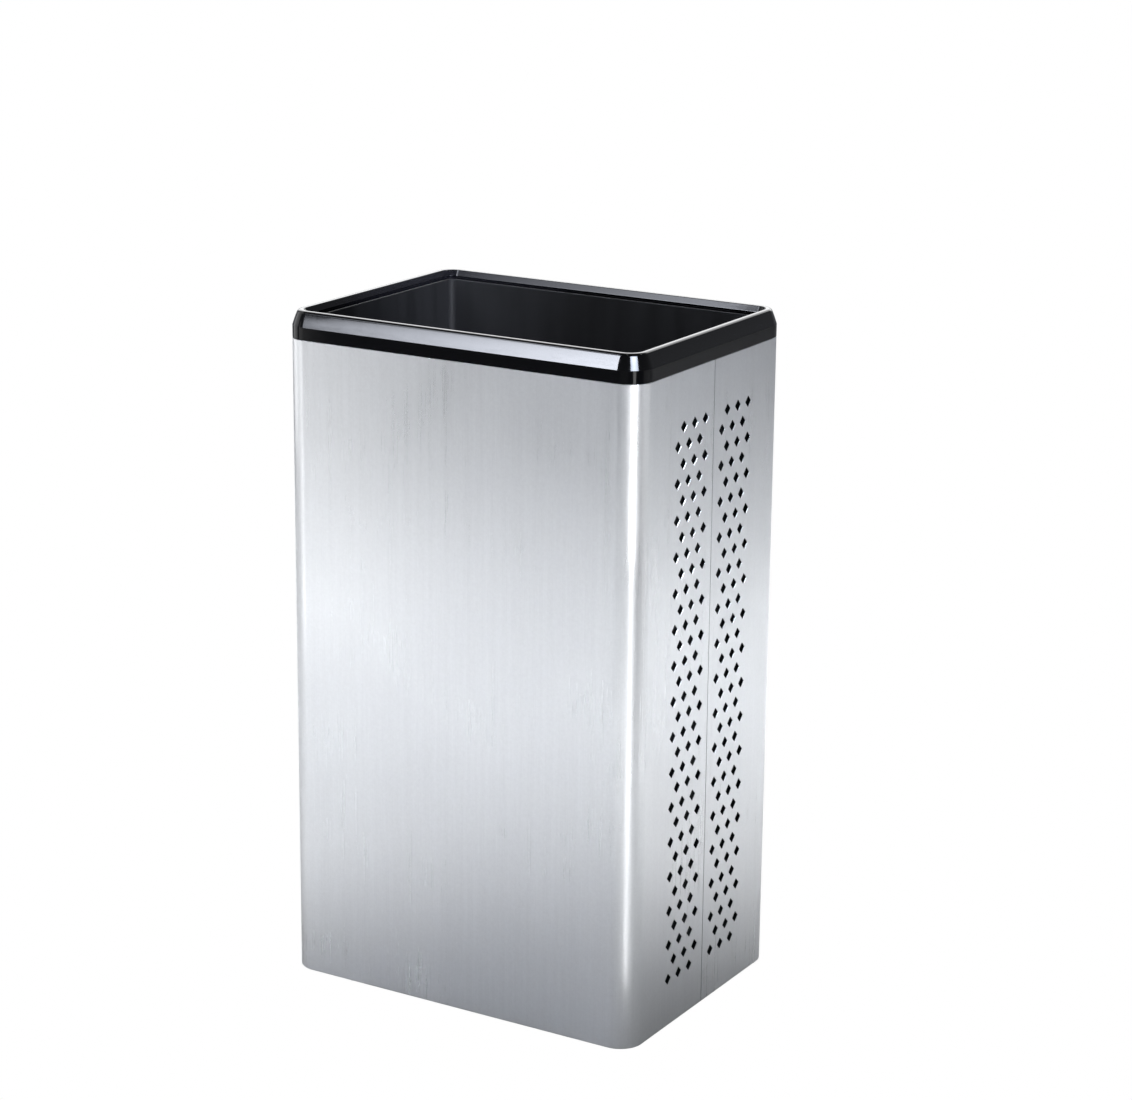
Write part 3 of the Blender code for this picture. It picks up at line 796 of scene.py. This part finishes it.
def build_feet(material):
    """Rubber feet with a grooved sole."""
    low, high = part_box("foot_front_left")
    radius = (high.x - low.x) / 2
    height = high.z - low.z
    profile = [(FOOT_RECESS_RADIUS, 0.0)]
    for groove in FOOT_GROOVES:
        profile += [(groove - FOOT_GROOVE_HALF_WIDTH, 0.0), (groove, FOOT_GROOVE_DEPTH),
                    (groove + FOOT_GROOVE_HALF_WIDTH, 0.0)]
    profile += [(radius - 0.0008, 0.0), (radius - 0.0002, 0.0003), (radius, 0.0009),
                (radius, height - 0.0005), (radius - 0.0005, height), (FOOT_HOLE_RADIUS, height),
                (FOOT_HOLE_RADIUS, FOOT_RECESS_DEPTH), (FOOT_RECESS_RADIUS, FOOT_RECESS_DEPTH),
                (FOOT_RECESS_RADIUS, 0.0)]
    bm = bmesh.new()
    add_turned(bm, profile, FOOT_STEPS)
    mesh = smooth(finish_mesh(bm, "foot"))
    for name in FOOT_NAMES:
        middle = box_middle("foot_" + name)
        place("rubber_foot_" + name, mesh, material, "stand", ["foot_" + name],
              Matrix.Translation((middle.x, middle.y, low.z)))


def screw_mesh():
    """A pan-head screw with a cross recess: its seat is at height 0 and its shank points up."""
    low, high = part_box("base_screw_1")
    head = (high.x - low.x) / 2
    length = high.z - low.z - SCREW_HEAD_HEIGHT
    profile = [(0.0, -SCREW_HEAD_HEIGHT)]
    for step in range(1, 7):
        angle = math.radians(15.0 * step)
        profile.append((head * math.sin(angle), -SCREW_HEAD_HEIGHT * (0.35 + 0.65 * math.cos(angle))))
    profile += [(head, -0.0002), (head - 0.0002, 0.0), (SCREW_CORE_RADIUS, 0.0)]
    z = SCREW_THREAD_START
    while z < length - SCREW_POINT_LENGTH - SCREW_THREAD_HALF:
        profile += [(SCREW_CORE_RADIUS, z), (SCREW_THREAD_RADIUS, z + SCREW_THREAD_HALF),
                    (SCREW_CORE_RADIUS, z + 2 * SCREW_THREAD_HALF)]
        z += SCREW_THREAD_PITCH
    profile += [(SCREW_CORE_RADIUS, length - SCREW_POINT_LENGTH), (SCREW_POINT_RADIUS, length - 0.0002),
                (0.0, length)]
    bm = bmesh.new()
    add_turned(bm, profile, SCREW_STEPS)
    body = finish_mesh(bm, "screw_body")
    arm, half = CROSS_ARM, CROSS_HALF_WIDTH
    cross = [(arm, -half), (arm, half), (half, half), (half, arm), (-half, arm), (-half, half),
             (-arm, half), (-arm, -half), (-half, -half), (-half, -arm), (half, -arm), (half, -half)]
    bm = bmesh.new()
    add_prism(bm, cross, [(-2 * SCREW_HEAD_HEIGHT, 1.0), (-0.4 * SCREW_HEAD_HEIGHT, 0.6)])
    return boolean(body, finish_mesh(bm, "cross"), "DIFFERENCE", "screw")


def build_screws(material):
    mesh = smooth(screw_mesh())
    for node in sorted(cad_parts):
        if "_screw_" not in node:
            continue
        low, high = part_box(node)
        x, y = (low.x + high.x) / 2, (low.y + high.y) / 2
        if node.startswith("top_"):
            turn = Matrix.Rotation(math.pi, 4, "X")
            matrix = Matrix.Translation((x, y, high.z - SCREW_HEAD_HEIGHT)) @ turn
        else:
            matrix = Matrix.Translation((x, y, low.z + SCREW_HEAD_HEIGHT))
        place("fitted_" + node, mesh, material, "stand", [node], matrix)


def dress(node, material):
    """A CAD node whose shape is right keeps it, and gets the finished material."""
    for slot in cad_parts[node].material_slots:
        slot.material = material


# ---------------------------------------------------------------- studio

def white_to_camera(tree, lit_shader, output):
    """Send the camera plain white, and send light and reflections the lit shader."""
    path = tree.nodes.new("ShaderNodeLightPath")
    white = tree.nodes.new("ShaderNodeEmission" if output.bl_idname == "ShaderNodeOutputMaterial"
                           else "ShaderNodeBackground")
    mix = tree.nodes.new("ShaderNodeMixShader")
    tree.links.new(path.outputs["Is Camera Ray"], mix.inputs["Fac"])
    tree.links.new(lit_shader, mix.inputs[1])
    tree.links.new(white.outputs[0], mix.inputs[2])
    white.inputs["Color"].default_value = (1.0, 1.0, 1.0, 1.0)
    tree.links.new(mix.outputs["Shader"], output.inputs["Surface"])


def make_floor():
    """A pale floor with painted shade deepening beside the stand, that the camera sees as plain white."""
    m = Nodes("floor")
    away = m.add("ShaderNodeVectorMath", {"operation": "LENGTH"}, Vector=m.coordinates((1.0, 1.0, 1.0)))
    # Painted shade: the floor's grey falls towards the stand.
    shade = m.span(away.outputs["Value"], FLOOR_PAINTED_SHADE_NEAR[1], FLOOR_PAINTED_SHADE_FAR[1], (FLOOR_PAINTED_SHADE_NEAR[0], FLOOR_PAINTED_SHADE_FAR[0]))
    m.shade(Base_Color=shade, Roughness=FLOOR_ROUGHNESS)
    white_to_camera(m.tree, m.shader.outputs["BSDF"], m.tree.nodes["Material Output"])
    bm = bmesh.new()
    bmesh.ops.create_grid(bm, x_segments=1, y_segments=1, size=FLOOR_HALF_SIZE)
    floor = bpy.data.objects.new("floor", finish_mesh(bm, "floor"))
    floor.data.materials.append(m.material)
    bpy.context.scene.collection.objects.link(floor)


def make_world():
    """A dim room: soft light from all round, less of it from overhead."""
    world = bpy.data.worlds.new("studio")
    bpy.context.scene.world = world
    world.use_nodes = True
    tree = world.node_tree
    background = tree.nodes["Background"]
    place_node = tree.nodes.new("ShaderNodeTexCoord")
    split = tree.nodes.new("ShaderNodeSeparateXYZ")
    tree.links.new(place_node.outputs["Generated"], split.inputs[0])
    ramp = tree.nodes.new("ShaderNodeValToRGB")
    tree.links.new(split.outputs["Z"], ramp.inputs["Fac"])
    elements = ramp.color_ramp.elements
    for element, (position, level) in zip(elements, WORLD_LEVELS):
        element.position = position
        element.color = (*(level * tint for tint in WORLD_TINT), 1.0)
    tree.links.new(ramp.outputs["Color"], background.inputs["Color"])
    white_to_camera(tree, background.outputs["Background"], tree.nodes["World Output"])


def turned_to(aim, place_at):
    """The rotation of a light or panel that faces the aim."""
    return (Vector(aim) - Vector(place_at)).to_track_quat("-Z", "Y").to_euler()


def softbox(name, place_at, aim, size, power, spread, colour, reflections_only):
    """A rectangular studio light."""
    data = bpy.data.lights.new(name, "AREA")
    data.shape = "RECTANGLE"
    data.size, data.size_y = size
    data.energy = power
    data.spread = math.radians(spread)
    data.color = colour
    light = bpy.data.objects.new(name, data)
    light.location = place_at
    light.rotation_euler = turned_to(aim, place_at)
    light.visible_camera = False
    light.visible_diffuse = not reflections_only
    bpy.context.scene.collection.objects.link(light)


def glow_panel(name, place_at, aim, size, dim, bright):
    """A glowing panel that brightens from its left edge, as the stand sees it, to its right edge."""
    material = bpy.data.materials.new(name)
    material.use_nodes = True
    tree = material.node_tree
    tree.nodes.remove(tree.nodes["Principled BSDF"])
    coordinates = tree.nodes.new("ShaderNodeTexCoord")
    split = tree.nodes.new("ShaderNodeSeparateXYZ")
    ramp = tree.nodes.new("ShaderNodeMapRange")
    glow = tree.nodes.new("ShaderNodeEmission")
    tree.links.new(coordinates.outputs["Object"], split.inputs["Vector"])
    tree.links.new(split.outputs["X"], ramp.inputs["Value"])
    for key, value in (("From Min", -size[0] / 2), ("From Max", size[0] / 2), ("To Min", dim),
                       ("To Max", bright)):
        ramp.inputs[key].default_value = value
    tree.links.new(ramp.outputs["Result"], glow.inputs["Strength"])
    glow.inputs["Color"].default_value = (*PANEL_TINT, 1.0)
    tree.links.new(glow.outputs["Emission"], tree.nodes["Material Output"].inputs["Surface"])
    bm = bmesh.new()
    bmesh.ops.create_grid(bm, x_segments=1, y_segments=1, size=0.5,
                          matrix=Matrix.Diagonal((size[0], size[1], 1.0, 1.0)))
    panel = bpy.data.objects.new(name, finish_mesh(bm, name))
    panel.data.materials.append(material)
    panel.location = place_at
    panel.rotation_euler = turned_to(aim, place_at)
    panel.visible_camera = False
    panel.visible_diffuse = False
    bpy.context.scene.collection.objects.link(panel)


def make_lights():
    for name, x, y, power, colour in POOLS:
        softbox("pool_" + name, (x, y, POOL_HEIGHT), (x, y, 0.0), POOL_SIZE, power, POOL_SPREAD, colour,
                False)
    for name, bottom, top, power in CORNER_TUBES:
        middle = (bottom + top) / 2
        softbox(name, (*TUBE_PLACE, middle), (*TUBE_AIM, middle), (TUBE_WIDTH, top - bottom), power,
                ALL_ROUND, WHITE, True)
    for name, place_at, aim, size, power, spread, colour, reflections_only in SOFTBOXES:
        softbox(name, place_at, aim, size, power, spread, colour, reflections_only)
    for name, place_at, aim, size, dim, bright in GLOW_PANELS:
        glow_panel(name, place_at, aim, size, dim, bright)


def make_camera():
    data = bpy.data.cameras.new("camera")
    data.lens = CAMERA_LENS
    data.sensor_width = SENSOR_WIDTH
    camera = bpy.data.objects.new("camera", data)
    turn = Euler((math.radians(90.0 - CAMERA_PITCH), 0.0, math.radians(CAMERA_YAW))).to_matrix()
    turn = turn @ Matrix.Rotation(math.radians(CAMERA_ROLL), 3, "Z")
    camera.matrix_world = Matrix.Translation(CAMERA_PLACE) @ turn.to_4x4()
    bpy.context.scene.collection.objects.link(camera)
    bpy.context.scene.camera = camera


# ---------------------------------------------------------------- main

steel = brushed_steel()
zinc = zinced_steel()
build_shells(steel)
build_rim(rim_plastic())
build_liner(liner_plastic())
build_base(base_plastic())
build_feet(foot_rubber())
build_screws(zinc)
dress("top_frame", zinc)
# The seam clips get near-black steel as painted shade, so they stay dark behind the perforations.
shade_black = blackened_steel()
for clip in ("seam_clip_left", "seam_clip_right"):
    dress(clip, shade_black)
make_floor()
make_world()
make_lights()
make_camera()
bpy.context.scene.view_settings.view_transform = "Standard"
